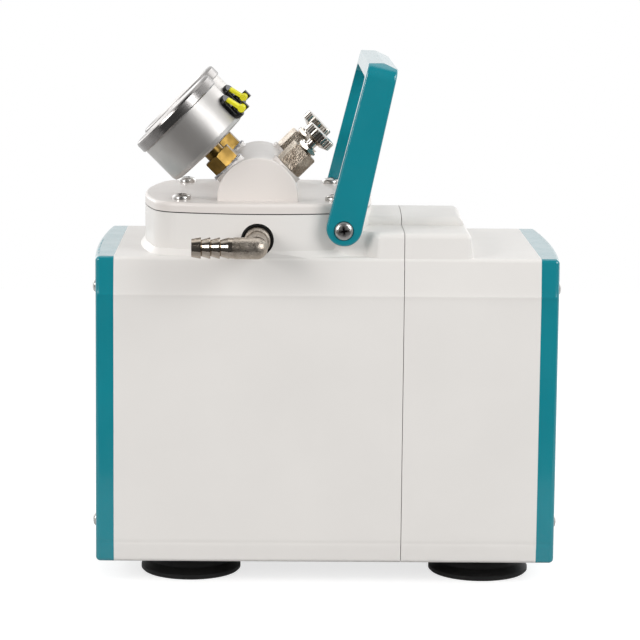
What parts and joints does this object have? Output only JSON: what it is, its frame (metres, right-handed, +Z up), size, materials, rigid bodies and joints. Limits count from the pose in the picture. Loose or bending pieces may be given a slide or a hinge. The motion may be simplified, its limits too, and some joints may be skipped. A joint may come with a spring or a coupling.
{
  "type": "diaphragm vacuum pump",
  "caption": "Tabletop diaphragm vacuum pump: white two-part housing, teal end panels and swing handle, pump head with angled gauges, needle valves and hose barbs.",
  "frame": {"origin": "on the table, under the middle of the housing", "axes": "+X from the pump end to the motor end, +Y from the front to the rear, +Z up"},
  "size_m": [0.23, 0.1804, 0.2573],
  "materials": {
    "white_paint": "warm off-white gloss powder coat",
    "teal_paint": "teal gloss paint",
    "screw_steel": "bright zinc-plated screws",
    "gasket_rubber": "thin black rubber",
    "foot_rubber": "matt black moulded rubber",
    "nickel": "satin nickel plate over brass",
    "brass": "turned brass",
    "washer": "soft white sealing washer",
    "gauge_steel": "satin stainless steel",
    "bezel_steel": "polished stainless steel",
    "gauge_glass": "clear flat window",
    "dial_white": "white dial with black scale",
    "pointer_black": "black pointer",
    "plug_rubber": "black rubber",
    "lever_yellow": "bright yellow plastic",
    "reed_steel": "spring steel",
    "aluminium": "die-cast aluminium",
    "diaphragm_rubber": "black moulded rubber",
    "bearing_steel": "ground bearing steel",
    "shaft_steel": "ground steel",
    "lamination": "stacked electrical steel",
    "copper": "varnished copper coil heads",
    "fan_plastic": "black moulded plastic",
    "capacitor_can": "white plastic can",
    "black_plastic": "black moulded plastic",
    "rocker_plastic": "red translucent rocker"
  },
  "bodies": {
    "pump": {"left_shell": "white_paint", "right_shell": "white_paint", "left_end_panel": "teal_paint", "right_end_panel": "teal_paint", "end_panel_screws": "screw_steel", "head_cover": "white_paint", "head_gasket": "gasket_rubber", "head_cover_screws": "screw_steel", "handle_screws": "screw_steel", "inlet_elbow": "nickel", "outlet_elbow": "nickel", "port_seals": "gasket_rubber", "fitting_washers": "washer", "rubber_feet": "foot_rubber", "foot_screws": "screw_steel", "valve_plate": "aluminium", "reed_valves": "reed_steel", "diaphragm": "diaphragm_rubber", "shaft_bearings": "bearing_steel", "stator_core": "lamination", "stator_windings": "copper", "motor_end_bells": "aluminium", "run_capacitor": "capacitor_can", "power_inlet": "black_plastic", "switch_frame": "black_plastic", "front_gauge_stem": "brass", "front_gauge_case": "gauge_steel", "front_gauge_bezel": "bezel_steel", "front_gauge_lens": "gauge_glass", "front_gauge_dial": "dial_white", "front_vent_plug": "plug_rubber", "front_valve_body": "nickel", "front_gland_nut": "nickel", "rear_gauge_stem": "brass", "rear_gauge_case": "gauge_steel", "rear_gauge_bezel": "bezel_steel", "rear_gauge_lens": "gauge_glass", "rear_gauge_dial": "dial_white", "rear_vent_plug": "plug_rubber", "rear_valve_body": "nickel", "rear_gland_nut": "nickel"},
    "handle": {"handle": "teal_paint"},
    "rotor": {"eccentric": "shaft_steel", "motor_shaft": "shaft_steel", "rotor_core": "lamination", "cooling_fan": "fan_plastic"},
    "rod": {"connecting_rod": "aluminium", "big_end_bearing": "bearing_steel", "diaphragm_clamp": "aluminium"},
    "rocker": {"switch_rocker": "rocker_plastic"},
    "front_pointer": {"front_gauge_pointer": "pointer_black"},
    "front_lever": {"front_vent_lever": "lever_yellow"},
    "front_valve": {"front_valve_spindle": "nickel", "front_valve_knob": "nickel"},
    "rear_pointer": {"rear_gauge_pointer": "pointer_black"},
    "rear_lever": {"rear_vent_lever": "lever_yellow"},
    "rear_valve": {"rear_valve_spindle": "nickel", "rear_valve_knob": "nickel"}
  },
  "joints": [
    {"name": "handle_pivot", "type": "hinge", "parent": "pump", "child": "handle", "pos_m": [0.0075, 0, 0.1763], "axis": [0, 1, 0], "range_deg": [-38, 48]},
    {"name": "rotor_spin", "type": "hinge", "parent": "pump", "child": "rotor", "pos_m": [0, 0, 0.096], "axis": [1, 0, 0], "continuous": true},
    {"name": "rod_swing", "type": "hinge", "parent": "rotor", "child": "rod", "pos_m": [-0.0343, 0, 0.093], "axis": [1, 0, 0], "continuous": true, "deforming": ["diaphragm"]},
    {"name": "power_switch", "type": "hinge", "parent": "pump", "child": "rocker", "pos_m": [0.11, -0.022, 0.034], "axis": [0, 1, 0], "range_deg": [0, 16]},
    {"name": "front_valve_turn", "type": "hinge", "parent": "pump", "child": "front_valve", "pos_m": [-0.0046, -0.036, 0.2197], "axis": [0.7071, 0, 0.7071], "range_deg": [-1080, 720]},
    {"name": "front_gauge_reading", "type": "hinge", "parent": "pump", "child": "front_pointer", "pos_m": [-0.07178, -0.036, 0.22748], "axis": [0.7071, 0, -0.7071], "range_deg": [0, 270], "stiffness_Nm_per_rad": 0.0004},
    {"name": "front_vent_flip", "type": "hinge", "parent": "pump", "child": "front_lever", "pos_m": [-0.04188, -0.04597, 0.23475], "axis": [0.2649, 0.9272, 0.2649], "range_deg": [0, 90]},
    {"name": "rear_valve_turn", "type": "hinge", "parent": "pump", "child": "rear_valve", "pos_m": [-0.0046, 0.036, 0.2197], "axis": [0.7071, 0, 0.7071], "range_deg": [-1080, 720]},
    {"name": "rear_gauge_reading", "type": "hinge", "parent": "pump", "child": "rear_pointer", "pos_m": [-0.07178, 0.036, 0.22748], "axis": [0.7071, 0, -0.7071], "range_deg": [0, 270], "stiffness_Nm_per_rad": 0.0004},
    {"name": "rear_vent_flip", "type": "hinge", "parent": "pump", "child": "rear_lever", "pos_m": [-0.04188, 0.02603, 0.23475], "axis": [0.2649, 0.9272, 0.2649], "range_deg": [0, 90]}
  ],
  "couplings": [
    {"joint": "rod_swing", "follows": "rotor_spin", "ratio": -1}
  ]
}
